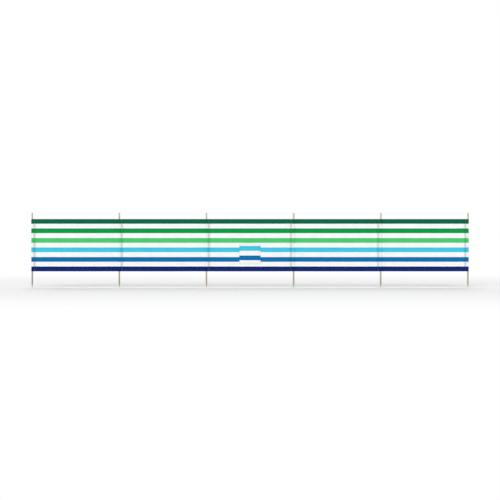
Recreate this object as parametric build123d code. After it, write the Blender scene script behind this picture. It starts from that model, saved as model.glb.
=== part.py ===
"""A beach windbreak: one long striped cloth in five bays, held up by round wooden poles.

The poles are pencil-pointed dowels. At each pole the cloth is folded into a sleeve that runs round
the pole and is sewn shut along one upright seam. The middle bay has a patch pocket, open at its top.

Millimetres. +X runs along the windbreak, +Y goes through it to the windward side, +Z is up.
The origin is the middle of the blunt point of the first pole.
"""

from build123d import *
from math import acos, atan2, cos, degrees, hypot, radians, sin, sqrt
import os

# The whole windbreak
overall_length = 6096.0
bay_count = 5
cloth_height = 729.0
billow = 15.0

# Poles
pole_length = 1038.9
pole_diameter = 22.0
pole_above_cloth = 88.3
pole_top_chamfer = 1.5
point_length = 46.0
point_end_diameter = 6.0
point_shoulder = 0.9

# Cloth, its sleeves and its hems
cloth_thickness = 1.2
layer_gap = 0.25
sleeve_clearance = 0.3
seam_offset = 35.0
seam_width = 8.0
seam_roll_radius = 60.0
hem_height = 16.0

# Patch pocket
pocket_width = 294.6
pocket_height = 284.5
pocket_below_cloth_top = 341.0
pocket_side_lap = 14.0
pocket_bottom_hem_height = 18.0
pocket_mouth_hem_height = 22.0
pocket_gape = 16.0

# Heights and places that follow
cloth_top = pole_length - pole_above_cloth
cloth_bottom = cloth_top - cloth_height
pocket_top = cloth_top - pocket_below_cloth_top
pocket_bottom = pocket_top - pocket_height
pocket_bay = bay_count // 2

sleeve_inner_radius = pole_diameter / 2 + sleeve_clearance
sleeve_outer_radius = sleeve_inner_radius + cloth_thickness
pole_spacing = (overall_length - 2 * sleeve_outer_radius) / bay_count
pole_x = [number * pole_spacing for number in range(bay_count + 1)]

# Seams lie on the side of each pole that faces the middle: +1 is to its right, -1 to its left
seam_side = [1 if 2 * number <= bay_count else -1 for number in range(bay_count + 1)]
seam_start = seam_offset - seam_width / 2
seam_end = seam_offset + seam_width / 2


class Course:
    """A smooth line drawn on the plan: straight runs and arcs, each leaving as the last one arrived."""

    def __init__(self, x, y):
        self.x, self.y, self.heading = x, y, 0.0
        self.pieces = []

    def left(self, distance):
        """The point at that distance to the left of where the course is now."""
        angle = radians(self.heading + 90)
        return self.x + distance * cos(angle), self.y + distance * sin(angle)

    def run(self, length):
        self.pieces.append(("run", (self.x, self.y), self.heading, length))
        self.x += length * cos(radians(self.heading))
        self.y += length * sin(radians(self.heading))

    def turn(self, radius, angle):
        """An arc that turns left by a positive angle and right by a negative one, in degrees."""
        side = 1 if angle > 0 else -1
        centre = self.left(side * radius)
        self.pieces.append(("turn", centre, self.heading - side * 90, radius, angle))
        self.heading += angle
        spoke = radians(self.heading - side * 90)
        self.x, self.y = centre[0] + radius * cos(spoke), centre[1] + radius * sin(spoke)

    def edges(self, offset):
        """The course moved sideways, to its left by that offset."""
        moved = []
        for kind, place, *rest in self.pieces:
            if kind == "run":
                heading, length = rest
                across = radians(heading + 90)
                start = Vector(place[0] + offset * cos(across), place[1] + offset * sin(across))
                along = Vector(cos(radians(heading)), sin(radians(heading)))
                moved.append(Line(start, start + along * length))
            else:
                spoke, radius, angle = rest
                side = 1 if angle > 0 else -1
                moved.append(CenterArc(place, radius - side * offset, spoke, angle))
        return moved


def band(course, near, far, low, high):
    """Cloth that stands between two heights and fills a strip to the left of a course."""
    first, last = course.edges(near), course.edges(far)
    caps = [Line(first[0] @ 0, last[0] @ 0), Line(first[-1] @ 1, last[-1] @ 1)]
    plan = make_face([*first, *last, *caps])
    return extrude(Pos(0, 0, low) * plan, amount=high - low, dir=(0, 0, 1))


def pole():
    """A round dowel on its axis, sharpened to a blunt point with a small shoulder above it."""
    radius = pole_diameter / 2
    outline = Polyline(
        (0, 0),
        (point_end_diameter / 2, 0),
        (radius - point_shoulder, point_length),
        (radius, point_length),
        (radius, pole_length - pole_top_chamfer),
        (radius - pole_top_chamfer, pole_length),
        (0, pole_length),
        close=True,
    )
    return revolve(Plane.XZ * make_face(outline), Axis.Z)


def sleeve():
    """The fold of cloth round a pole: an arc, two straight sides and the flat seam, to the pole's right."""
    half = cloth_thickness
    spread = degrees(atan2(half, seam_start) + acos(sleeve_outer_radius / hypot(seam_start, half)))

    def rim(radius):
        arc = CenterArc((0, 0), radius, spread, 360 - 2 * spread)
        return arc, arc @ 0, arc @ 1

    arc, upper, lower = rim(sleeve_outer_radius)
    seam = Polyline(
        lower,
        (seam_start, -half),
        (seam_end, -half),
        (seam_end, half),
        (seam_start, half),
        upper,
    )
    outside = make_face([*arc.edges(), *seam.edges()])
    arc, upper, lower = rim(sleeve_inner_radius)
    meeting = (sleeve_inner_radius / cos(radians(spread)), 0)
    inside = make_face([*arc.edges(), *Polyline(lower, meeting, upper).edges()])
    plan = Pos(0, 0, cloth_bottom) * (outside - inside)
    return extrude(plan, amount=cloth_height, dir=(0, 0, 1))


# Behind a sleeve the next bay's cloth goes round it and down to the same seam
wrap_radius = sleeve_outer_radius + layer_gap + cloth_thickness / 2
fold_radius = 3 * cloth_thickness
lap_level = 1.5 * cloth_thickness
fold_reach = hypot(seam_offset, lap_level + fold_radius)
leg_length = sqrt(fold_reach**2 - (wrap_radius + fold_radius) ** 2)
leg_slope = degrees(
    atan2(lap_level + fold_radius, seam_offset) - atan2(wrap_radius + fold_radius, leg_length)
)


def bay_ends(bay):
    """The round forms that a bay's cloth leaves and reaches, each as its centre and radius."""
    ends = []
    for number, towards in ((bay, 1), (bay + 1, -1)):
        if seam_side[number] == towards:
            x = pole_x[number] + towards * seam_end
            ends.append((Vector(x, -cloth_thickness / 2 - seam_roll_radius), seam_roll_radius))
        else:
            ends.append((Vector(pole_x[number], 0), wrap_radius))
    return ends


def bay_arc(bay):
    """The centre and radius of the long arc that the wind blows a bay into, touching both its ends."""
    (left, left_radius), (right, right_radius) = bay_ends(bay)
    span = (right - left).length
    radius = span**2 / (8 * billow)
    from_left, from_right = radius + left_radius, radius + right_radius
    along = (span**2 + from_left**2 - from_right**2) / (2 * span)
    across = sqrt(from_left**2 - along**2)
    ahead = (right - left).normalized()
    return left + ahead * along + Vector(-ahead.Y, ahead.X) * across, radius


def bay_course(bay):
    """The middle line of a bay's cloth on the plan, from its left seam to its right one."""
    (left, left_radius), (right, right_radius) = bay_ends(bay)
    centre, radius = bay_arc(bay)
    leaving = degrees(atan2(centre.Y - left.Y, centre.X - left.X)) - 90
    arriving = degrees(atan2(centre.Y - right.Y, centre.X - right.X)) - 90
    if seam_side[bay] == 1:
        course = Course(left.X, -cloth_thickness / 2)
        course.turn(left_radius, leaving)
    else:
        course = Course(pole_x[bay] - seam_end, lap_level)
        course.run(seam_end - seam_offset)
        course.turn(fold_radius, -leg_slope)
        course.run(leg_length)
        course.turn(left_radius, leaving + leg_slope)
    course.turn(radius, arriving - leaving)
    if seam_side[bay + 1] == -1:
        course.turn(right_radius, -arriving)
    else:
        course.turn(right_radius, leg_slope - arriving)
        course.run(leg_length)
        course.turn(fold_radius, -leg_slope)
        course.run(seam_end - seam_offset)
    return course


def bay_cloth(bay):
    half = cloth_thickness / 2
    return band(bay_course(bay), -half, half, cloth_bottom, cloth_top)


def hem(bay, low, high):
    """An edge of the cloth turned over once and sewn down, on the windward side."""
    near = cloth_thickness / 2 + layer_gap
    return band(bay_course(bay), near, near + cloth_thickness, low, high)


def pocket_section(level, layer):
    """The plan of one layer of the pocket at one height, counted outwards from the cloth."""
    centre, arc_radius = bay_arc(pocket_bay)
    near = arc_radius + cloth_thickness / 2 + layer_gap + layer * (cloth_thickness + layer_gap)
    half, seam = pocket_width / 2, pocket_width / 2 - pocket_side_lap
    flat_top = pocket_bottom + pocket_bottom_hem_height
    opened = max(0.0, (level - flat_top) / (pocket_top - flat_top)) * pocket_gape

    def point(radius, x, forward=0.0):
        return centre.X + x, centre.Y - sqrt(radius**2 - x**2) - forward

    def side(radius):
        middle = (half + seam) / 2
        return [
            ThreePointArc(point(radius, -half), point(radius, -middle), point(radius, -seam)),
            ThreePointArc(point(radius, -seam), point(radius, 0, opened), point(radius, seam)),
            ThreePointArc(point(radius, seam), point(radius, middle), point(radius, half)),
        ]

    back, front = side(near), side(near + cloth_thickness)
    caps = [Line(back[0] @ 0, front[0] @ 0), Line(back[-1] @ 1, front[-1] @ 1)]
    return Pos(0, 0, level) * make_face([*back, *front, *caps])


def pocket_layer(layer, levels):
    """One layer of the pocket, straight between the plans at its levels."""
    return loft([pocket_section(level, layer) for level in levels], ruled=True)


parts = {}
for number in range(bay_count + 1):
    parts[f"pole_{number + 1}"] = Pos(pole_x[number], 0, 0) * pole()
    fold = sleeve() if seam_side[number] == 1 else mirror(sleeve(), about=Plane.YZ)
    parts[f"sleeve_{number + 1}"] = Pos(pole_x[number], 0, 0) * fold
for bay in range(bay_count):
    parts[f"bay_{bay + 1}_cloth"] = bay_cloth(bay)
    parts[f"top_hem_{bay + 1}"] = hem(bay, cloth_top - hem_height, cloth_top)
    parts[f"bottom_hem_{bay + 1}"] = hem(bay, cloth_bottom, cloth_bottom + hem_height)

parts["pocket_front"] = pocket_layer(
    0, [pocket_bottom, pocket_bottom + pocket_bottom_hem_height, pocket_top]
)
parts["pocket_bottom_hem"] = pocket_layer(
    1, [pocket_bottom, pocket_bottom + pocket_bottom_hem_height]
)
parts["pocket_mouth_hem"] = pocket_layer(1, [pocket_top - pocket_mouth_hem_height, pocket_top])

os.makedirs("parts", exist_ok=True)
for name, shape in parts.items():
    export_step(shape, f"parts/{name}.step")
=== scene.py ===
from math import atan2, cos, exp, hypot, pi, radians, sin, sqrt

import bmesh
import bpy
from mathutils import Matrix, Vector, noise


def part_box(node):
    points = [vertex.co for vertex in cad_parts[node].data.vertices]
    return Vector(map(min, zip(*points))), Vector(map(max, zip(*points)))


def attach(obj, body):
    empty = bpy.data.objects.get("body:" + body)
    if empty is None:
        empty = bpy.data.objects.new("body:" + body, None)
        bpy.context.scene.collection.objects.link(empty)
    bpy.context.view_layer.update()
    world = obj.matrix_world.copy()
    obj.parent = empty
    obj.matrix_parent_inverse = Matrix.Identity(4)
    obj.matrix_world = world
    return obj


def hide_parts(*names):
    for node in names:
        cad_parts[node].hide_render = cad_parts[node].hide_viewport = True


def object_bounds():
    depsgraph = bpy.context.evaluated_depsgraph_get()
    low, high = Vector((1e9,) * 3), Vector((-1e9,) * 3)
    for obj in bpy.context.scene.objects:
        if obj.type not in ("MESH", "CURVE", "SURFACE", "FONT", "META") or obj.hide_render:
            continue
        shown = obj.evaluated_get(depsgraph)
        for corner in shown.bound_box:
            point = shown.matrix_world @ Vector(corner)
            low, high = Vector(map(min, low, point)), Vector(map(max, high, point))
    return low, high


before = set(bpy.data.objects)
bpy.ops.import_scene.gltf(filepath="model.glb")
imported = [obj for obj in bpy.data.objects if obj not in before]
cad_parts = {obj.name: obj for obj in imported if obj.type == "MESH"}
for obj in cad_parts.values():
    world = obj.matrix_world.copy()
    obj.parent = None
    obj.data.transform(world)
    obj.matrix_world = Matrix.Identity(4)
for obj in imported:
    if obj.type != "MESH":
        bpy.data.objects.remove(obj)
cad_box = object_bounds()

# The windbreak's sizes in metres. The parts in model.glb give those that they hold.
bay_count = 5
pole_boxes = [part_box(f"pole_{number + 1}") for number in range(bay_count + 1)]
pole_x = [(low.x + high.x) / 2 for low, high in pole_boxes]
pole_radius = (pole_boxes[0][1].y - pole_boxes[0][0].y) / 2
pole_length = pole_boxes[0][1].z
point_length = 0.046

cloth_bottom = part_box("bay_1_cloth")[0].z
cloth_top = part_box("bay_1_cloth")[1].z
cloth_height = cloth_top - cloth_bottom
sleeve_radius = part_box("sleeve_1")[1].y
seam_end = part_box("sleeve_1")[1].x - pole_x[0]
hem_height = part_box("top_hem_3")[1].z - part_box("top_hem_3")[0].z
pocket_low, pocket_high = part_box("pocket_front")
pocket_width = pocket_high.x - pocket_low.x
pocket_bottom = pocket_low.z
pocket_top = pocket_high.z
pocket_height = pocket_top - pocket_bottom
pocket_band_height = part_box("pocket_bottom_hem")[1].z - pocket_bottom
pocket_mouth_height = pocket_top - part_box("pocket_mouth_hem")[0].z

# The room that the cloth takes on the plan, which its course keeps to
cloth_room = 0.0012
layer_gap = 0.00025
seam_offset = 0.035
seam_lap = seam_end - seam_offset
seam_roll_radius = 0.060
billow = 0.015
wrap_radius = sleeve_radius + layer_gap + cloth_room / 2
fold_radius = 3 * cloth_room
lap_level = 1.5 * cloth_room

# The side of each pole that its seam is on: 1 is to its right and -1 to its left
seam_side = [1 if 2 * number <= bay_count else -1 for number in range(bay_count + 1)]

# The cloth itself, its hems, and how its stitches pinch it
fabric = 0.0005
hem_roll = 0.0008
hem_stand = 2 * hem_roll
hem_turn = 0.00033
hem_turned_under = (0.003, 0.009)
hem_row = 0.0130
hem_pinch = 0.3
hem_pinch_reach = 0.0012
pinched_stand = hem_stand * (1 - hem_pinch)
crease_depth = 0.0003
crease_reach = 0.003
pucker_depth = 0.0006
pucker_reach = 0.007

# Where the slack of a bay and the puckers of its hems begin, beyond what lies behind a sleeve
wrapped_length = 0.060
slack_start = 0.200
slack_depth = 0.0035
pucker_start = 0.030

# Shade beside a seam, with a narrow line at its stitches, and the share of it that a hem shows
seam_shade = 0.57
seam_shade_reach = 0.017
seam_line_share = 0.3
seam_line_reach = 0.0022
hem_shade_share = 0.6

# Sleeves: where their sides leave the flat seam, over a small roll, and how their ends are turned in
sleeve_reach = 0.031
sleeve_roll = 0.006
sleeve_back_level = 0.0005
sleeve_slack = 0.00015
sleeve_turn = 0.00038
sleeve_turned_in = 0.012

# Stitching
stitch_pitch = 0.0044
stitch_length = 0.0040
thread_width = 0.0014
thread_height = 0.0006
row_inset = 0.002
pocket_row_inset = 0.003
pocket_side_row = (pocket_bottom + pocket_row_inset, pocket_top - pocket_row_inset)

# Patch pocket, with each soft fold's place, reach and depth
pocket_stand = 0.0013
pocket_turn = 0.00035
pocket_turn_under = 0.008
pocket_row = 0.011
pocket_row_x = pocket_width / 2 - pocket_row
pocket_foot_row = 0.0145
pocket_mouth_row = 0.0185
pocket_gape = 0.016
pocket_room = 0.0006
pocket_slack = 0.0009
pocket_folds = [(0.113, 0.0062, 0.0022), (0.1265, 0.0045, 0.0014)]
fold_beside_pocket = (0.021, 0.0075, 0.0018)
pocket_busy_ends = (0.018, 0.045)

# Stripes from the bottom up, each with its height and its colour
stripe_height = cloth_height / 11
cloth_stripes = [(stripe_height, dye) for dye in (
    "navy", "white", "blue", "white", "cyan", "white",
    "light_green", "white", "green", "white", "dark_green",
)]
lowest_pocket_stripe = 0.0507
pocket_stripes = [(lowest_pocket_stripe, "white")]
pocket_stripes += [(stripe_height, dye) for dye in ("blue", "white", "cyan", "white")]


def shade(red, green, blue):
    """A colour as a screen shows it, from 0 to 255, as the light it sends back."""
    light = []
    for part in (red, green, blue):
        part = part / 255
        light.append(part / 12.92 if part <= 0.04045 else ((part + 0.055) / 1.055) ** 2.4)
    return (*light, 1.0)


# The dyes, and how clear thread and the painted highlight beside its stitches look on each of them
dyes = {
    "navy": shade(16, 38, 110),
    "blue": shade(12, 112, 173),
    "cyan": shade(68, 199, 228),
    "light_green": shade(77, 201, 113),
    "green": shade(6, 152, 70),
    "dark_green": shade(9, 100, 71),
    "white": shade(248, 249, 248),
}
thread_and_gleam_tints = {
    "navy": shade(149, 173, 255),
    "blue": shade(130, 218, 255),
    "cyan": shade(120, 245, 255),
    "light_green": shade(150, 255, 208),
    "green": shade(130, 255, 190),
    "dark_green": shade(158, 255, 227),
    "white": shade(224, 226, 225),
}


def ease(share):
    """A smooth step from 0 to 1."""
    share = min(max(share, 0.0), 1.0)
    return share * share * (3 - 2 * share)


def wave(seed, *place):
    """Smooth waves between about -1 and 1, the same ones for the same seed."""
    across, up = (*place, 0.0)[:2]
    return noise.noise(Vector((across, up, 7.31 * seed + 0.5)))


def bump(distance, reach):
    """A smooth rise to 1 where the distance is 0."""
    return exp(-((distance / reach) ** 2))


def half_turn(steps):
    """The angles at which a fold of cloth is drawn, from one layer over to the next."""
    return [pi * step / steps for step in range(steps + 1)]


def graded(length, fine, coarse, busy, blend):
    """Distances along a length, close together over its busy stretches, each given from and to."""
    places = [0.0]
    while places[-1] < length:
        here = places[-1]
        clear = min(max(start - here, here - end) for start, end in busy)
        places.append(here + fine + (coarse - fine) * ease(clear / blend))
    return [place * length / places[-1] for place in places]


def ends_of(length, first, last):
    """The first and the last stretch of a length."""
    return [(0.0, first), (length - last, length)]


class Course:
    """A smooth line on the plan: straight runs and arcs, each leaving as the last one arrived."""

    def __init__(self, x, y, heading=0.0):
        self.place = Vector((x, y))
        self.heading = heading
        self.length = 0.0
        self.pieces = []

    @staticmethod
    def follow(place, heading, bend, distance):
        """Where a run or an arc has come to after a distance, and its heading there."""
        after = heading + bend * distance
        if bend:
            step = Vector((sin(after) - sin(heading), cos(heading) - cos(after))) / bend
        else:
            step = Vector((cos(heading), sin(heading))) * distance
        return place + step, after

    def run(self, length, bend=0.0):
        self.pieces.append((self.length, self.place, self.heading, bend))
        self.place, self.heading = self.follow(self.place, self.heading, bend, length)
        self.length += length

    def turn(self, radius, angle):
        """An arc that turns left by a positive angle and right by a negative one."""
        self.run(radius * abs(angle), (1 if angle > 0 else -1) / radius)

    def at(self, distance):
        """The point at a distance along the course, and the way to its left there."""
        start, place, heading, bend = [piece for piece in self.pieces if piece[0] <= max(distance, 0)][-1]
        point, heading = self.follow(place, heading, bend, distance - start)
        return point, Vector((-sin(heading), cos(heading)))


def leg_to_pole(reach, level, roll, radius):
    """The straight run from a seam up to the round of a pole, tangent at both ends, and its slope."""
    away = hypot(reach, level + roll)
    length = sqrt(away**2 - (radius + roll) ** 2)
    return length, atan2(radius + roll, length) - atan2(level + roll, reach)


def pucker(distance, waves):
    """How far cloth stands off at a distance from a row of stitches, by the waves along that row."""
    share = abs(distance) / pucker_reach
    return pucker_depth * share * exp(1 - share) * waves


def seam_pucker(number, distance, height):
    """How far the cloth stands off beside the seam of a pole, drawn in by its stitches."""
    return crease_depth * bump(distance, crease_reach) + pucker(distance, wave(20 + number, 44 * height))


def hem_pucker(seed, along, distance):
    """How far the cloth stands off beside the stitches of a hem."""
    return 0.8 * pucker(distance, wave(seed, 36 * along))


def seam_nearness(away):
    """How deep the shade of a seam lies on the cloth at a distance from its stitches."""
    wide = (1 - seam_line_share) * exp(-((away / seam_shade_reach) ** 1.8))
    return wide + seam_line_share * bump(away, seam_line_reach)


class Bay:
    """The cloth of one bay: its course on the plan and the way it stands off that course."""

    def __init__(self, number):
        self.number = number
        self.open_left = seam_side[number] == 1
        self.open_right = seam_side[number + 1] == -1
        self.course = self.lay_out()
        self.length = self.course.length
        self.left_row = 0.0 if self.open_left else seam_lap
        self.right_row = self.length - (0.0 if self.open_right else seam_lap)
        self.holds_pocket = number == bay_count // 2

    def ends(self):
        """The round forms that the cloth leaves and reaches, each as its centre and radius."""
        found = []
        for number, towards in ((self.number, 1), (self.number + 1, -1)):
            if seam_side[number] == towards:
                x = pole_x[number] + towards * seam_end
                found.append((Vector((x, -cloth_room / 2 - seam_roll_radius)), seam_roll_radius))
            else:
                found.append((Vector((pole_x[number], 0.0)), wrap_radius))
        return found

    def lay_out(self):
        """The middle line of the cloth, whose long arc touches the round forms at both ends."""
        (left, left_radius), (right, right_radius) = self.ends()
        span = (right - left).length
        radius = span**2 / (8 * billow)
        from_left, from_right = radius + left_radius, radius + right_radius
        along = (span**2 + from_left**2 - from_right**2) / (2 * span)
        ahead = (right - left).normalized()
        centre = left + ahead * along + Vector((-ahead.y, ahead.x)) * sqrt(from_left**2 - along**2)
        leaving = atan2(centre.y - left.y, centre.x - left.x) - pi / 2
        arriving = atan2(centre.y - right.y, centre.x - right.x) - pi / 2
        leg, slope = leg_to_pole(seam_offset, lap_level, fold_radius, wrap_radius)
        if self.open_left:
            course = Course(pole_x[self.number] + seam_offset, -cloth_room / 2)
            course.run(seam_lap)
            course.turn(left_radius, leaving)
        else:
            course = Course(pole_x[self.number] - seam_end, lap_level)
            course.run(seam_lap)
            course.turn(fold_radius, slope)
            course.run(leg)
            course.turn(left_radius, leaving - slope)
        course.turn(radius, arriving - leaving)
        if self.open_right:
            course.turn(right_radius, -arriving)
            course.run(seam_lap)
        else:
            course.turn(right_radius, -slope - arriving)
            course.run(leg)
            course.turn(fold_radius, slope)
            course.run(seam_lap)
        return course

    def lift(self, along, height):
        """How far the cloth stands to windward of its course."""
        across = pole_x[self.number] + along
        from_left = along - self.left_row - (0.0 if self.open_left else wrapped_length)
        from_right = self.right_row - along - (0.0 if self.open_right else wrapped_length)
        slack = ease(from_left / slack_start) * ease(from_right / slack_start)
        stand = slack_depth * slack * wave(3, 1.7 * across, 2.3 * height)
        stand += 0.25 * slack_depth * slack * wave(5, 6.0 * across, 8.0 * height)
        if self.open_left:
            stand += seam_pucker(self.number, along - self.left_row, height)
        if self.open_right:
            stand += seam_pucker(self.number + 1, self.right_row - along, height)
        free = ease(from_left / pucker_start) * ease(from_right / pucker_start)
        stand += free * hem_pucker(11, across, cloth_top - hem_row - height)
        stand += free * hem_pucker(12, across, cloth_bottom + hem_row - height)
        if self.holds_pocket:
            stand += self.pocket_pull(along - self.length / 2, height)
        return stand

    def pocket_pull(self, across, height):
        """How far the sides of the pocket draw the cloth up beside them, and one soft fold to their right."""
        fade = 0.03
        level = ease((height - pocket_bottom) / fade + 0.5) * ease((pocket_top - height) / fade + 0.5)
        aside = abs(across) - pocket_row_x
        pull = pucker(aside, wave(71 if across > 0 else 72, 40 * height))
        away, reach, depth = fold_beside_pocket
        if across > 0:
            pull -= depth * bump(aside - pocket_row - away, reach) * (0.8 + 0.6 * wave(73, 7 * height))
        return level * pull

    def pocket_shade(self, along, height):
        """The shade along the sides and the foot of the pocket."""
        deepest, reach, fade = 0.17, 0.0045, 0.012
        aside = abs(along - self.length / 2) - pocket_width / 2
        below = pocket_bottom - height
        away = hypot(max(aside, 0.0), max(below, 0.0)) + min(max(aside, below), 0.0)
        return deepest * bump(away, reach) * ease((pocket_top - height) / fade)

    def place(self, along, height, off=0.0):
        """A point of the cloth, or one to windward of it."""
        point, left = self.course.at(along)
        point = point + left * (off + self.lift(along, height))
        return Vector((point.x, point.y, height))

    def windward(self, along):
        """The way that the back of the cloth faces."""
        left = self.course.at(along)[1]
        return Vector((left.x, left.y, 0.0))

    def shade_at(self, along, height):
        """How deep the shade of the nearest seam or of the pocket lies on the cloth, from 0 to 1."""
        away = min(abs(along - self.left_row), abs(self.right_row - along))
        near = seam_nearness(away)
        return max(near, self.pocket_shade(along, height)) if self.holds_pocket else near

    def stations(self):
        """Distances for the columns of the cloth's mesh, closest at the seams and beside the pocket."""
        open_end, wrapped_end = 0.020, 0.085
        beside_pocket, past_fold = 0.012, 0.030
        first = open_end if self.open_left else wrapped_end
        last = open_end if self.open_right else wrapped_end
        busy = ends_of(self.length, first, last)
        if self.holds_pocket:
            middle, half = self.length / 2, pocket_width / 2
            busy.append((middle - half - beside_pocket, middle - half + beside_pocket))
            busy.append((middle + half - beside_pocket, middle + half + past_fold))
        return graded(self.length, fine=0.0024, coarse=0.0100, busy=busy, blend=0.08)

    def levels(self, low, high):
        """Heights for the rows of the cloth's mesh, closest at the hems and at the foot of the pocket."""
        by_hem, below_foot, above_foot = 0.012, 0.010, 0.004
        busy = ends_of(high - low, by_hem, by_hem)
        if self.holds_pocket:
            foot = pocket_bottom - low
            busy.append((foot - below_foot, foot + above_foot))
        steps = graded(high - low, fine=0.0020, coarse=0.0100, busy=busy, blend=0.04)
        return [low + step for step in steps]


bays = [Bay(number) for number in range(bay_count)]
middle_bay = bays[bay_count // 2]


def cloth_piece(name, node, material, stations, levels, place):
    """A piece of cloth with a vertex for each station along it and each level up it.

    place gives a vertex its point, its place on the flat cloth and how deep the painted shade of a seam, a
    hem or the pocket lies on it.
    """
    bm = bmesh.new()
    columns, rows = len(stations) - 1, len(levels) - 1
    bmesh.ops.create_grid(bm, x_segments=columns, y_segments=rows, size=0.5)
    flat = bm.loops.layers.uv.new("cloth")
    nearness = bm.verts.layers.float.new("painted_shade_depth")
    flat_places = {}
    for vert in bm.verts:
        station = stations[round((vert.co.x + 0.5) * columns)]
        level = levels[round((vert.co.y + 0.5) * rows)]
        vert.co, flat_places[vert], vert[nearness] = place(station, level)
    for face in bm.faces:
        for loop in face.loops:
            loop[flat].uv = flat_places[loop.vert]
    return finished(bm, name, material, [node], fabric)


def in_scene(name, data):
    """A mesh, a lamp or a camera as an object in the scene."""
    made = bpy.data.objects.new(name, data)
    bpy.context.scene.collection.objects.link(made)
    return made


def finished(bm, name, material, replaces=(), thickness=None):
    """A piece from its bmesh, with its finish, which stands for the nodes that it replaces."""
    mesh = bpy.data.meshes.new(name)
    bm.to_mesh(mesh)
    bm.free()
    mesh.polygons.foreach_set("use_smooth", [True] * len(mesh.polygons))
    mesh.materials.append(material)
    piece = in_scene(name, mesh)
    if thickness:
        layer = piece.modifiers.new("cloth_thickness", "SOLIDIFY")
        layer.thickness = thickness
        layer.offset = 0.0
        layer.use_even_offset = True
    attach(piece, "root")
    if replaces:
        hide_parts(*replaces)
    return piece


# Finishes


def link(tree, value, socket):
    """Sets a socket to a value, or joins it to another node's output."""
    if isinstance(value, bpy.types.NodeSocket):
        tree.links.new(value, socket)
    else:
        socket.default_value = value


def add(tree, kind, inputs=(), **settings):
    """A new shader node, with its settings, and its inputs set or joined."""
    made = tree.nodes.new("ShaderNode" + kind)
    for name, value in settings.items():
        setattr(made, name, value)
    for name, value in dict(inputs).items():
        link(tree, value, made.inputs[name])
    return made


def calculate(tree, operation, first, second=0.0, third=0.0):
    made = add(tree, "Math", {0: first, 1: second, 2: third}, operation=operation)
    return made.outputs[0]


def product(tree, first, *others):
    """Some numbers multiplied together."""
    for other in others:
        first = calculate(tree, "MULTIPLY", first, other)
    return first


def ripple(tree, place, wavelength):
    """A sine wave over a place."""
    return calculate(tree, "SINE", product(tree, place, 2 * pi / wavelength))


def ranged(tree, value, low, high, to_low, to_high):
    """A value from between low and high, moved to between two other numbers."""
    made = add(tree, "MapRange", {0: value, 1: low, 2: high, 3: to_low, 4: to_high})
    return made.outputs[0]


def tinted(tree, colour, factor):
    """A colour made lighter or darker by a number."""
    grey = add(tree, "CombineColor", {0: factor, 1: factor, 2: factor}).outputs[0]
    mixed = add(tree, "Mix", {0: 1.0, 6: colour, 7: grey}, data_type="RGBA", blend_type="MULTIPLY")
    return mixed.outputs[2]


def blended(tree, factor, first, second):
    mixed = add(tree, "Mix", {0: factor, 6: first, 7: second}, data_type="RGBA")
    return mixed.outputs[2]


def speckle(tree, vector, scale, detail=2.0):
    made = add(tree, "TexNoise", {"Vector": vector, "Scale": scale, "Detail": detail})
    return made.outputs["Fac"]


def stripe_colour(tree, up, stripes, colours):
    """The colour of the stripe at a height above the foot of the cloth."""
    height = sum(one_height for one_height, dye in stripes)
    ramp = add(tree, "ValToRGB", {0: calculate(tree, "DIVIDE", up, height)})
    ramp.color_ramp.interpolation = "CONSTANT"
    stops = ramp.color_ramp.elements
    level = 0.0
    for order, (one_height, dye) in enumerate(stripes):
        stop = stops[order] if order < 2 else stops.new(level / height)
        stop.position = level / height
        stop.color = colours[dye]
        level += one_height
    return ramp.outputs[0]


def new_finish(name, roughness, gloss=0.5, sheen=0.0):
    material = bpy.data.materials.new(name)
    material.use_nodes = True
    surface = material.node_tree.nodes["Principled BSDF"]
    surface.inputs["Roughness"].default_value = roughness
    surface.inputs["Specular IOR Level"].default_value = gloss
    surface.inputs["Sheen Weight"].default_value = sheen
    surface.inputs["Sheen Roughness"].default_value = 0.2
    return material, material.node_tree, surface


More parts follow.
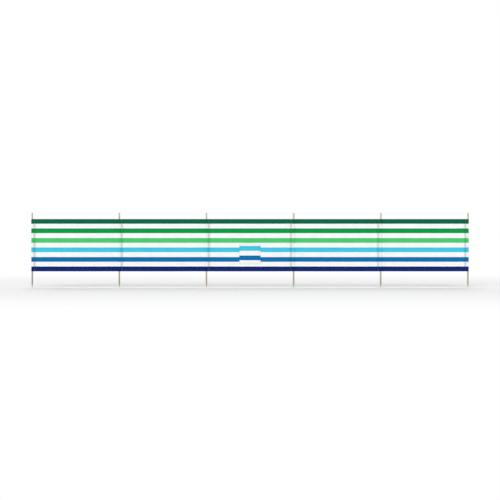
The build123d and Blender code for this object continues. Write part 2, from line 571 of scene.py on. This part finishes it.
def striped_cloth(name, stripes):
    """Dyed plain-weave polyester: stripes up its height, threads, painted shade at seams and in the weave,
    and a painted highlight line at seams.
    """
    thread_pitch, edge_step = 0.00055, 0.0006
    line_from, line_to, line_share = 0.80, 0.92, 0.25
    material, tree, surface = new_finish(name, 0.72, gloss=0.05, sheen=0.25)
    flat = add(tree, "UVMap", uv_map="cloth").outputs[0]
    split = add(tree, "SeparateXYZ", {0: flat})
    along, up = split.outputs[0], split.outputs[1]

    # Stripes, whose edges step from thread to thread
    unsure = calculate(tree, "SUBTRACT", speckle(tree, flat, 1400.0, 1.0), 0.5)
    edge = calculate(tree, "MULTIPLY_ADD", unsure, edge_step, up)
    near = add(tree, "Attribute", attribute_name="painted_shade_depth").outputs["Fac"]
    # Painted shade beside seams, hems and the pocket, as deep as each vertex says
    shade_of_seam = ranged(tree, near, 0.0, 1.0, 1.0, seam_shade)
    shaded = tinted(tree, stripe_colour(tree, edge, stripes, dyes), shade_of_seam)
    # Painted highlight: a pale line along the stitches of a seam, in the clear thread's tint
    painted_highlight = ranged(tree, near, line_from, line_to, 0.0, line_share)
    colour = blended(tree, painted_highlight, shaded, stripe_colour(tree, edge, stripes, thread_and_gleam_tints))

    # Threads over and under each other
    across = ripple(tree, along, 2 * thread_pitch)
    upward = ripple(tree, up, 2 * thread_pitch)
    over = calculate(tree, "GREATER_THAN", product(tree, across, upward), 0.0)
    warp = calculate(tree, "ABSOLUTE", across)
    weft = calculate(tree, "ABSOLUTE", upward)
    first = product(tree, over, warp)
    second = product(tree, calculate(tree, "SUBTRACT", 1.0, over), weft)
    weave = calculate(tree, "ADD", first, second)

    # Uneven dye, thread by thread and over a hand's width, and painted shade where threads dip under each
    # other
    wefts = add(tree, "Mapping", {"Vector": flat, "Scale": (30.0, 1200.0, 1.0)}).outputs[0]
    warps = add(tree, "Mapping", {"Vector": flat, "Scale": (1200.0, 30.0, 1.0)}).outputs[0]
    slubs = calculate(tree, "ADD", speckle(tree, wefts, 1.0), speckle(tree, warps, 1.0))
    streak = ranged(tree, slubs, 0.7, 1.3, 0.975, 1.025)
    cloud = ranged(tree, speckle(tree, flat, 7.0), 0.3, 0.7, 0.975, 1.025)
    # Painted shade: darker in the hollows of the weave
    depth = ranged(tree, weave, 0.0, 1.0, 0.93, 1.03)
    uneven = product(tree, streak, cloud, depth)
    link(tree, tinted(tree, colour, uneven), surface.inputs["Base Color"])

    # Creases and threads to the touch
    rough = ranged(tree, speckle(tree, flat, 60.0), 0.3, 0.7, 0.66, 0.80)
    link(tree, rough, surface.inputs["Roughness"])
    rumpled = speckle(tree, flat, 45.0, 4.0)
    creases = add(tree, "Bump", {"Strength": 0.35, "Distance": 0.0006, "Height": rumpled}).outputs[0]
    threads = {"Strength": 0.5, "Distance": 0.00012, "Height": weave, "Normal": creases}
    link(tree, add(tree, "Bump", threads).outputs[0], surface.inputs["Normal"])
    return material


def sewing_thread(name, stripes, foot, colours):
    """Twisted thread, laid on cloth whose lowest stripe begins at the height of its foot."""
    material, tree, surface = new_finish(name, 0.45, gloss=0.3, sheen=0.1)
    place = add(tree, "TexCoord").outputs["Object"]
    up = calculate(tree, "SUBTRACT", add(tree, "SeparateXYZ", {0: place}).outputs[2], foot)
    colour = stripe_colour(tree, up, stripes, colours)
    fuzz = speckle(tree, place, 2600.0)
    link(tree, tinted(tree, colour, ranged(tree, fuzz, 0.3, 0.7, 0.88, 1.05)), surface.inputs["Base Color"])
    turned = add(tree, "Mapping", {"Vector": place, "Rotation": (0.6, 0.6, 0.6)}).outputs[0]
    twist = add(tree, "TexWave", {"Vector": turned, "Scale": 420.0, "Distortion": 1.0}).outputs["Fac"]
    ply = add(tree, "Bump", {"Strength": 0.5, "Distance": 0.0001, "Height": twist})
    link(tree, ply.outputs[0], surface.inputs["Normal"])
    return material


def pole_wood():
    """Pale softwood turned to a dowel: growth rings, fine fibres, and painted light and shade that make one
    side paler and the other darker.
    """
    ring_width, ring_wander = 0.0026, 0.004
    # The last colour is the grey of the painted shade on the foot
    early_wood, late_wood, painted_foot_shade = shade(218, 201, 180), shade(184, 165, 142), shade(157, 147, 130)
    # Painted light and painted shade: how much lighter the left side and darker the right side are, and how
    # far their edge wanders
    painted_pale_side, painted_dark_side, painted_edge_wander = 1.20, 0.66, 0.3
    cut_pitch, cut_below = 0.0018, point_length - 0.0005
    material, tree, surface = new_finish("pole_wood", 0.6, gloss=0.3)
    grain = add(tree, "Attribute", attribute_name="grain").outputs["Vector"]
    split = add(tree, "SeparateXYZ", {0: grain})
    flat = add(tree, "CombineXYZ", {0: split.outputs[0], 1: split.outputs[1]}).outputs[0]
    radius = add(tree, "VectorMath", {0: flat}, operation="LENGTH").outputs["Value"]
    long_waves = add(tree, "Mapping", {"Vector": grain, "Scale": (60.0, 60.0, 3.0)}).outputs[0]
    wander = product(tree, speckle(tree, long_waves, 1.0), ring_wander)
    rings = ripple(tree, calculate(tree, "ADD", radius, wander), ring_width)
    late = calculate(tree, "POWER", ranged(tree, rings, -0.2, 1.0, 0.0, 1.0), 2.5)
    colour = blended(tree, late, early_wood, late_wood)

    # Fibres and pores, and painted shade that makes the foot darker and greyer than the rest
    fibre_place = add(tree, "Mapping", {"Vector": grain, "Scale": (1400.0, 1400.0, 22.0)}).outputs[0]
    fibre = speckle(tree, fibre_place, 1.0, 3.0)
    pore = ranged(tree, fibre, 0.58, 0.72, 1.0, 0.72)
    tone = ranged(tree, fibre, 0.3, 0.7, 0.94, 1.05)
    board = ranged(tree, speckle(tree, long_waves, 0.25), 0.3, 0.7, 0.93, 1.05)
    height = split.outputs[2]
    # Painted shade: darker below the cloth, and greyer towards the ground
    foot = ranged(tree, height, cloth_bottom - 0.02, cloth_bottom + 0.12, 0.70, 1.0)
    colour = tinted(tree, colour, product(tree, pore, tone, board, foot))
    greyer = ranged(tree, height, 0.0, cloth_bottom + 0.1, 0.5, 0.0)
    colour = blended(tree, greyer, colour, painted_foot_shade)

    # Painted light on the left side and painted shade on the right, with an edge that wanders
    side = add(tree, "Attribute", attribute_name="side").outputs["Fac"]
    painted_side_edge = calculate(tree, "MULTIPLY_ADD", speckle(tree, long_waves, 1.0), painted_edge_wander, side)
    painted_sides = ranged(tree, painted_side_edge, 0.26, 0.46, painted_pale_side, painted_dark_side)
    link(tree, tinted(tree, colour, painted_sides), surface.inputs["Base Color"])

    # Fibres to the touch, and the marks of the blade on the point
    link(tree, ranged(tree, fibre, 0.3, 0.7, 0.52, 0.7), surface.inputs["Roughness"])
    lines = add(tree, "Bump", {"Strength": 0.4, "Distance": 0.0002, "Height": fibre})
    cut = product(tree, ripple(tree, height, cut_pitch), calculate(tree, "LESS_THAN", height, cut_below))
    point = {"Strength": 0.3, "Distance": 0.0001, "Height": cut, "Normal": lines.outputs[0]}
    link(tree, add(tree, "Bump", point).outputs[0], surface.inputs["Normal"])
    return material


# Pieces


def dowel(number, material):
    """A pole: a round dowel with a softened top, sharpened below to a blunt point with a shoulder."""
    point_end, end_round = 0.003, 0.0006
    shoulder, soft = 0.0009, 0.0001
    top_round, top_steps = 0.0016, 4
    rings = 22
    low_radius = pole_radius - shoulder
    outline = [(0.0, 0.0), (point_end - end_round, 0.0), (point_end, end_round * 0.8)]
    for share in (0.2, 0.4, 0.6, 0.8, 0.97):
        outline.append((point_end + (low_radius - point_end) * share, point_length * share))
    outline += [(low_radius, point_length - 2 * soft), (pole_radius - 3 * soft, point_length + soft)]
    outline += [(pole_radius, point_length + 8 * soft)]
    for ring in range(1, rings):
        outline.append((pole_radius, point_length + (pole_length - point_length - top_round) * ring / rings))
    for turn in range(top_steps + 1):
        angle = turn * pi / (2 * top_steps)
        radius = pole_radius - top_round * (1 - cos(angle))
        outline.append((radius, pole_length - top_round * (1 - sin(angle))))
    outline.append((0.0, pole_length))
    bm = bmesh.new()
    line = [bm.verts.new((radius, 0.0, height)) for radius, height in outline]
    for low, high in zip(line, line[1:]):
        bm.edges.new((low, high))
    bmesh.ops.spin(bm, geom=bm.verts[:] + bm.edges[:], cent=(0, 0, 0), axis=(0, 0, 1),
                   angle=2 * pi, steps=44, use_merge=True, use_duplicate=False)
    bmesh.ops.remove_doubles(bm, verts=bm.verts, dist=1e-6)
    bmesh.ops.recalc_face_normals(bm, faces=bm.faces)
    side = bm.verts.layers.float.new("side")
    grain = bm.verts.layers.float_vector.new("grain")

    # Each pole has its own place and lean beside the heart of its tree, and its own slight bow
    heart = Vector((0.026 + 0.012 * wave(31, 3.7 * number), -0.018 + 0.012 * wave(32, 2.9 * number), 0.0))
    lean = Vector((0.016 * wave(35, 2.3 * number), 0.016 * wave(36, 1.9 * number), 0.0))
    bow_depth, unevenness, even_foot = 0.0003, 0.008, 0.1
    for vert in bm.verts:
        height = vert.co.z
        vert[grain] = vert.co + heart + lean * height
        # How far to the right a point lies, for the painted light and shade on the pole's sides
        vert[side] = vert.co.x / pole_radius
        bow = bow_depth * sin(pi * height / pole_length)
        uneven = 1 + unevenness * wave(40 + number, 9 * height) * ease(height / even_foot)
        vert.co.x = vert.co.x * uneven + bow * wave(33, 5.1 * number) + pole_x[number]
        vert.co.y = vert.co.y * uneven + bow * wave(34, 4.3 * number)
    return finished(bm, f"dowel_{number + 1}", material, [f"pole_{number + 1}"])


def bay_panel(bay, material):
    """The cloth of a bay, between its two hems."""
    low, high = cloth_bottom + fabric / 2 + hem_roll, cloth_top - fabric / 2 - hem_roll

    def place(station, level):
        return bay.place(station, level), (station, level - cloth_bottom), bay.shade_at(station, level)

    return cloth_piece(f"cloth_of_bay_{bay.number + 1}", f"bay_{bay.number + 1}_cloth",
                       material, bay.stations(), bay.levels(low, high), place)


def hem_levels(top, low, high, depth, row):
    """A hem on the top or bottom edge of cloth: over, down, and turned under out of sight.

    Each level is how far it stands off the cloth, its depth below the folded edge, its height, and
    its place up the flat cloth.
    """
    points = []
    middle = fabric / 2 + hem_roll
    for angle in half_turn(6):
        points.append((hem_roll * (1 - cos(angle)), middle - hem_roll * sin(angle)))
    lowest = depth - fabric / 2 - hem_turn
    for share in (0.15, 0.4, 0.6, 0.72, 0.80, 0.84, 0.90, 1.0):
        points.append((hem_stand, middle + (lowest - middle) * share))
    for angle in half_turn(4)[1:]:
        points.append((hem_stand - hem_turn * (1 - cos(angle)), lowest + hem_turn * sin(angle)))
    for climb in hem_turned_under:
        points.append((hem_stand - 2 * hem_turn, lowest - climb))
    along, levels = 0.0, []
    for number, (off, down) in enumerate(points):
        if number:
            along += hypot(off - points[number - 1][0], down - points[number - 1][1])
        height, up = (high - down, high - low - along) if top else (low + down, along)
        pinched = off * (1 - hem_pinch * bump(down - row, hem_pinch_reach))
        levels.append((pinched, down, height, up))
    return levels if top else levels[::-1]


def bay_hem(bay, edge, material):
    """The top or bottom edge of a bay, turned over to windward and sewn down."""
    levels = hem_levels(edge == "top", cloth_bottom, cloth_top, hem_height, hem_row)

    def place(station, level):
        off, _, height, up = level
        shaded = hem_shade_share * bay.shade_at(station, height)
        return bay.place(station, height, off), (station, up), shaded

    return cloth_piece(f"hem_{edge}_{bay.number + 1}", f"{edge}_hem_{bay.number + 1}",
                       material, bay.stations(), levels, place)


class Sleeve:
    """The fold of cloth round a pole, from its back lap round the pole to the row of stitches in front."""

    def __init__(self, number):
        self.number = number
        self.side = seam_side[number]
        radius = sleeve_radius - fabric / 2
        back_leg, back_slope = leg_to_pole(sleeve_reach, sleeve_back_level, sleeve_roll, radius)
        front_leg, front_slope = leg_to_pole(sleeve_reach, cloth_room / 2, sleeve_roll, radius)
        self.course = Course(seam_end, sleeve_back_level, pi)
        self.course.run(seam_end - sleeve_reach)
        self.course.turn(sleeve_roll, -back_slope)
        self.course.run(back_leg)
        self.course.turn(radius, pi + back_slope + front_slope)
        self.course.run(front_leg)
        self.course.turn(sleeve_roll, -front_slope)
        self.course.run(seam_offset - sleeve_reach)
        self.length = self.course.length

    def past_seam(self, along, in_front, behind):
        """A rise from 0 to 1, past one distance from the row in front and another from the back lap."""
        fade = 0.02
        return ease((self.length - along - in_front) / fade) * ease((along - behind) / fade)

    def place(self, along, height, inwards=0.0):
        """A point of the sleeve, or one inside it. A layer inside lies closer near the seam."""
        least = 0.35
        point, left = self.course.at(along)
        slack = sleeve_slack * (1 + wave(50 + self.number, 26 * along, 5 * height))
        slack *= self.past_seam(along, in_front=0.02, behind=0.03)
        taper = least + (1 - least) * self.past_seam(along, in_front=0.006, behind=0.01)
        outwards = slack - seam_pucker(self.number, self.length - along, height)
        point = point + left * (inwards * taper - outwards)
        return Vector((pole_x[self.number] + self.side * point.x, point.y, height))

    def outwards(self, along):
        """The way that the sleeve faces, away from its pole."""
        left = self.course.at(along)[1]
        return Vector((-self.side * left.x, -left.y, 0.0))


sleeves = [Sleeve(number) for number in range(bay_count + 1)]


def pole_sleeve(sleeve, material):
    """A sleeve, whose top and bottom edges are turned in."""
    turn = sleeve_turn
    near_fold = 0.004
    low, high = cloth_bottom + fabric / 2 + turn, cloth_top - fabric / 2 - turn
    levels = [(2 * turn, low + sleeve_turned_in), (2 * turn, low + near_fold)]
    levels += [(turn * (1 + cos(angle)), low - turn * sin(angle)) for angle in half_turn(6)]
    busy = ends_of(high - low, first=0.01, last=0.01)
    climb = graded(high - low, fine=0.002, coarse=0.0100, busy=busy, blend=0.04)
    levels += [(0.0, low + rise) for rise in climb[1:-1]]
    levels += [(turn * (1 - cos(angle)), high + turn * sin(angle)) for angle in half_turn(6)]
    levels += [(2 * turn, high - near_fold), (2 * turn, high - sleeve_turned_in)]
    busy = ends_of(sleeve.length, first=0.006, last=0.03)
    stations = graded(sleeve.length, fine=0.0016, coarse=0.0026, busy=busy, blend=0.02)

    def place(station, level):
        inwards, height = level
        at = station if sleeve.side == 1 else sleeve.length - station
        up = height - cloth_bottom
        return sleeve.place(at, height, inwards), (at, up), seam_nearness(sleeve.length - at)

    return cloth_piece(f"pole_sleeve_{sleeve.number + 1}", f"sleeve_{sleeve.number + 1}",
                       material, stations, levels, place)


# Pocket, placed by how far across its middle and how high a point of it is

pocket_middle = middle_bay.length / 2


def fold_share(across, height, middle, reach):
    """How much of a soft fold in the pocket is at a point. The fold wanders a little on its way up."""
    sway = 0.004 * wave(66, 9 * height, 20 * middle)
    depth = 0.7 + 0.5 * wave(64, 6 * height, 20 * middle)
    return bump(across - middle - sway, reach) * depth


def pocket_place(across, height, off):
    """A point of the pocket, off towards the front from the cloth that it is sewn to."""
    rise = max(0.0, (height - pocket_bottom - pocket_band_height) / (pocket_height - pocket_band_height))
    share = min(1.0, abs(across) / pocket_row_x)
    between_rows = 1 - share**2
    above_band = ease(rise * 6)
    open_by = (pocket_gape * rise**1.15 + pocket_room) * between_rows * ease((1 - share) / 0.12 + 0.25)
    loose = between_rows * above_band * pocket_slack * wave(61, 14 * across, 11 * height)
    for middle, reach, depth in pocket_folds:
        loose += depth * fold_share(across, height, middle, reach) * above_band
    aside = abs(across) - pocket_row_x
    drawn = 0.0003 * bump(aside, 0.0022)
    gather = 0.0005 * exp(-abs(aside + pucker_reach * 0.2) / pucker_reach)
    gather *= wave(62 if across > 0 else 63, 52 * height)
    return middle_bay.place(pocket_middle + across, height, -(off + open_by + loose - drawn + gather * share))


def side_shade(across, height):
    """The shade on the pocket: a strip outside the side stitches, a line at the edge, and each fold's lee."""
    inside = pocket_width / 2 - abs(across)
    strip = 0.22 * ease((pocket_row - inside) / 0.003 + 0.5)
    line = 0.28 * bump(inside, 0.0016)
    lees = [0.25 * fold_share(across - 0.7 * reach, height, middle, 0.8 * reach)
            for middle, reach, depth in pocket_folds]
    return max(strip + line, *lees)


def pocket_panel(material):
    """The front of the pocket, with its sides turned under."""
    near_fold = 0.003
    edge = pocket_width / 2 - fabric / 2 - pocket_turn
    under = pocket_stand - 2 * pocket_turn
    side = [(edge - pocket_turn_under, under), (edge - near_fold, under)]
    for angle in half_turn(6):
        side.append((edge + pocket_turn * sin(angle), under + pocket_turn * (1 - cos(angle))))
    busy = ends_of(2 * edge, *pocket_busy_ends)
    flat = graded(2 * edge, fine=0.0015, coarse=0.0045, busy=busy, blend=0.03)[1:-1]
    stations = [(-across, off) for across, off in side]
    stations += [(step - edge, pocket_stand) for step in flat]
    stations += side[::-1]
    low, high = pocket_bottom + fabric / 2 + hem_roll, pocket_top - fabric / 2 - hem_roll
    busy = ends_of(high - low, first=0.02, last=0.02)
    climb = graded(high - low, fine=0.0022, coarse=0.0048, busy=busy, blend=0.03)
    levels = [low + rise for rise in climb]

    def place(station, level):
        across, off = station
        point = pocket_place(across, level, off)
        return point, (across, level - pocket_bottom), side_shade(across, level)

    return cloth_piece("pocket_panel", "pocket_front", material, stations, levels, place)


def pocket_hem(edge, depth, row, node, material):
    """The mouth or the foot of the pocket, turned over to its front."""
    top = edge == "mouth"
    set_in = 0.0003
    mouth_shade, foot_shade, line_shade, line_reach = 0.05, 0.13, 0.3, 0.0022
    half = pocket_width / 2 - set_in
    busy = ends_of(2 * half, *pocket_busy_ends)
    steps = graded(2 * half, fine=0.0018, coarse=0.0045, busy=busy, blend=0.03)
    stations = [step - half for step in steps]
    levels = hem_levels(top, pocket_bottom, pocket_top, depth, row)

    def place(station, level):
        off, down, height, up = level
        point = pocket_place(station, height, pocket_stand + off)
        # Painted shade on the hem: faint at the mouth, and at the foot a grey band with a darker line at its
        # folded edge
        over_the_hem = mouth_shade if top else foot_shade + line_shade * bump(down, line_reach)
        return point, (station, up), max(over_the_hem, side_shade(station, height))

    return cloth_piece(f"pocket_hem_{edge}", node, material, stations, levels, place)


# Stitching


def stitches(name, rows, material):
    """Rows of stitches as one mesh. Each stitch has its middle, the way it runs and the way it faces."""
    whole = bmesh.new()
    size = Matrix.Diagonal((stitch_length / 2, thread_width / 2, thread_height / 2, 1.0))
    for row in rows:
        sewn = bmesh.new()
        for middle, ahead, facing in row:
            across = facing.cross(ahead).normalized()
            turned = Matrix((ahead, across, ahead.cross(across))).transposed().to_4x4()
            at = Matrix.Translation(middle) @ turned @ size
            bmesh.ops.create_icosphere(sewn, subdivisions=1, radius=1.0, matrix=at)
        mesh = bpy.data.meshes.new(name + "_row")
        sewn.to_mesh(mesh)
        sewn.free()
        whole.from_mesh(mesh)
        bpy.data.meshes.remove(mesh)
    return finished(whole, name, material)


def row_between(first, last, place, facing):
    """Stitches one after another between two distances, along a line that place draws."""
    count = max(1, int((last - first) / stitch_pitch))
    pitch = (last - first) / count
    row = []
    for number in range(count):
        here = first + pitch * (number + 0.5)
        ahead = (place(here + pitch / 4) - place(here - pitch / 4)).normalized()
        row.append((place(here), ahead, facing(here)))
    return row


def all_facing(y):
    """The way that every stitch of a row faces, wherever it is along the row."""
    return lambda distance: Vector((0, y, 0))


to_front, to_back = all_facing(-1), all_facing(1)


def hem_stitches(bay, material):
    """Four rows: in front and behind, along the top hem and along the bottom one."""
    rows = []
    first, last = bay.left_row + row_inset, bay.right_row - row_inset
    behind = pinched_stand + fabric / 2
    for height in (cloth_top - hem_row, cloth_bottom + hem_row):
        for off, way in ((-fabric / 2, -1), (behind, 1)):
            rows.append(row_between(
                first, last,
                lambda along, height=height, off=off: bay.place(along, height, off),
                lambda along, way=way: bay.windward(along) * way,
            ))
    return stitches(f"hem_stitches_{bay.number + 1}", rows, material)


def seam_stitches(number, material):
    """The upright row that closes a sleeve, in front and behind."""
    sleeve = sleeves[number]
    x = pole_x[number] + seam_side[number] * seam_offset
    inner = 0 < number < bay_count
    back = (lap_level if inner else sleeve_back_level) + fabric / 2

    def in_front(height):
        point = sleeve.place(sleeve.length, height)
        return Vector((x, point.y - fabric / 2, height))

    def behind(height):
        return Vector((x, back, height))

    low, high = cloth_bottom + row_inset, cloth_top - row_inset
    rows = [row_between(low, high, in_front, to_front), row_between(low, high, behind, to_back)]
    return stitches(f"seam_stitches_{number + 1}", rows, material)


def sleeve_mouth_stitches(number, material):
    """The rows that hold the turned-in top and bottom edges of a sleeve."""
    sleeve = sleeves[number]
    first, last = 0.006, sleeve.length - 0.003
    rows = []
    for height in (cloth_top - hem_row, cloth_bottom + hem_row):
        rows.append(row_between(
            first, last,
            lambda along, height=height: sleeve.place(along, height, -fabric / 2),
            sleeve.outwards,
        ))
    return stitches(f"sleeve_stitches_{number + 1}", rows, material)


def pocket_stitches(material):
    """Up both sides of the pocket, along its foot and along its mouth."""
    rows = []
    proud = pocket_stand + fabric / 2
    for side in (-1, 1):
        def upright(height, side=side):
            single = pocket_bottom + pocket_band_height <= height <= pocket_top - pocket_mouth_height
            return pocket_place(side * pocket_row_x, height, proud + (0.0 if single else hem_stand))

        rows.append(row_between(*pocket_side_row, upright, to_front))
    over_the_hem = proud + pinched_stand
    for height in (pocket_bottom + pocket_foot_row, pocket_top - pocket_mouth_row):
        rows.append(row_between(
            -pocket_row_x, pocket_row_x,
            lambda across, height=height: pocket_place(across, height, over_the_hem),
            to_front,
        ))
    return stitches("pocket_stitches", rows, material)


def stitches_behind_pocket(material):
    """The rows that sew the pocket on, as they show on the back of the cloth."""
    def behind(across, height):
        return middle_bay.place(pocket_middle + across, height, fabric / 2)

    foot = pocket_bottom + pocket_foot_row
    rows = [row_between(-pocket_row_x, pocket_row_x, lambda across: behind(across, foot), to_back)]
    for x in (-pocket_row_x, pocket_row_x):
        rows.append(row_between(*pocket_side_row, lambda height, x=x: behind(x, height), to_back))
    return stitches("stitches_behind_pocket", rows, material)


wood = pole_wood()
striped = striped_cloth("striped_cloth", cloth_stripes)
pocket_striped = striped_cloth("pocket_striped_cloth", pocket_stripes)
seam_thread = sewing_thread("seam_thread", cloth_stripes, cloth_bottom, thread_and_gleam_tints)
pocket_thread = sewing_thread("pocket_thread", pocket_stripes, pocket_bottom, thread_and_gleam_tints)
hem_thread = sewing_thread("hem_thread", cloth_stripes, cloth_bottom, dyes)

for number in range(bay_count + 1):
    dowel(number, wood)

for sleeve in sleeves:
    number = sleeve.number
    cloth = pole_sleeve(sleeve, striped)
    closing = seam_stitches(number, seam_thread)
    mouths = sleeve_mouth_stitches(number, hem_thread)

for bay in bays:
    cloth = bay_panel(bay, striped)
    hems = [bay_hem(bay, edge, striped) for edge in ("top", "bottom")]
    sewn = [hem_stitches(bay, hem_thread)]
    if bay.holds_pocket:
        sewn.append(stitches_behind_pocket(seam_thread))

panel = pocket_panel(pocket_striped)
mouth = pocket_hem("mouth", pocket_mouth_height, pocket_mouth_row, "pocket_mouth_hem", pocket_striped)
foot = pocket_hem("foot", pocket_band_height, pocket_foot_row, "pocket_bottom_hem", pocket_striped)
pocket_sewn = pocket_stitches(pocket_thread)

# Floor, light and camera

centre = (cad_box[0] + cad_box[1]) / 2


def backdrop_rays(tree):
    """One where a ray comes straight from the camera, or by way of gloss or glass."""
    path = add(tree, "LightPath").outputs
    seen = calculate(tree, "MAXIMUM", path["Is Camera Ray"], path["Is Glossy Ray"])
    return calculate(tree, "MAXIMUM", seen, path["Is Transmission Ray"])


def pale_floor():
    """A wide floor that keeps the shadow near the windbreak and fades to white away from it."""
    squash, fade_from, fade_to = 0.45, 2.0, 6.5
    material, tree, surface = new_finish("floor", 0.9, gloss=0.1)
    surface.inputs["Base Color"].default_value = (0.92, 0.92, 0.92, 1.0)
    place = add(tree, "TexCoord").outputs["Object"]
    oval = {"Vector": place, "Location": (-squash * centre.x, -centre.y, 0.0), "Scale": (squash, 1.0, 1.0)}
    inward = add(tree, "Mapping", oval).outputs[0]
    distance = add(tree, "VectorMath", {0: inward}, operation="LENGTH").outputs["Value"]
    fade = {0: distance, 1: fade_from, 2: fade_to}
    far = add(tree, "MapRange", fade, interpolation_type="SMOOTHSTEP").outputs[0]
    white = add(tree, "Emission", {"Color": (1, 1, 1, 1), "Strength": 1.0}).outputs[0]
    share = product(tree, far, backdrop_rays(tree))
    mixed = add(tree, "MixShader", {0: share, 1: surface.outputs[0], 2: white}).outputs[0]
    link(tree, mixed, tree.nodes["Material Output"].inputs["Surface"])
    bm = bmesh.new()
    bmesh.ops.create_circle(bm, cap_ends=True, segments=96, radius=90.0,
                            matrix=Matrix.Translation((centre.x, centre.y, 0.0)))
    mesh = bpy.data.meshes.new("floor")
    bm.to_mesh(mesh)
    bm.free()
    mesh.materials.append(material)
    floor = in_scene("floor", mesh)


def soft_room(strength):
    """Even light from all round, in front of a white background."""
    world = bpy.data.worlds.new("room")
    bpy.context.scene.world = world
    world.use_nodes = True
    tree = world.node_tree
    light = tree.nodes["Background"]
    light.inputs["Color"].default_value = (1, 1, 1, 1)
    light.inputs["Strength"].default_value = strength
    white = add(tree, "Background", {"Color": (1, 1, 1, 1), "Strength": 1.0})
    mixed = add(tree, "MixShader", {0: backdrop_rays(tree), 1: light.outputs[0], 2: white.outputs[0]})
    link(tree, mixed.outputs[0], tree.nodes["World Output"].inputs["Surface"])


def lamp(name, azimuth, elevation, strength, softness):
    """A wide soft lamp. Azimuth 0 is in front of the windbreak and 90 to its right."""
    light = bpy.data.lights.new(name, "SUN")
    light.energy = strength
    light.angle = radians(softness)
    around, up = radians(azimuth), radians(elevation)
    towards = Vector((sin(around) * cos(up), -cos(around) * cos(up), sin(up)))
    held = in_scene(name, light)
    held.rotation_euler = towards.to_track_quat("Z", "Y").to_euler()
    held.location = centre + towards * 8


def front_camera(lens, width_seen, elevation):
    """A long lens in front of the windbreak that sees a given width of it."""
    data = bpy.data.cameras.new("camera")
    data.lens = lens
    data.sensor_width = 36.0
    data.clip_end = 300.0
    camera = in_scene("camera", data)
    up = radians(elevation)
    away = Vector((0.0, -cos(up), sin(up)))
    camera.location = centre + away * (width_seen * lens / data.sensor_width)
    camera.rotation_euler = away.to_track_quat("Z", "Y").to_euler()
    bpy.context.scene.camera = camera


pale_floor()
soft_room(strength=0.42)
lamp("key", azimuth=-12.0, elevation=34.0, strength=1.54, softness=50.0)
lamp("fill", azimuth=185.0, elevation=40.0, strength=1.2, softness=50.0)
front_camera(lens=135.0, width_seen=6.965, elevation=1.0)
bpy.context.scene.view_settings.view_transform = "Standard"
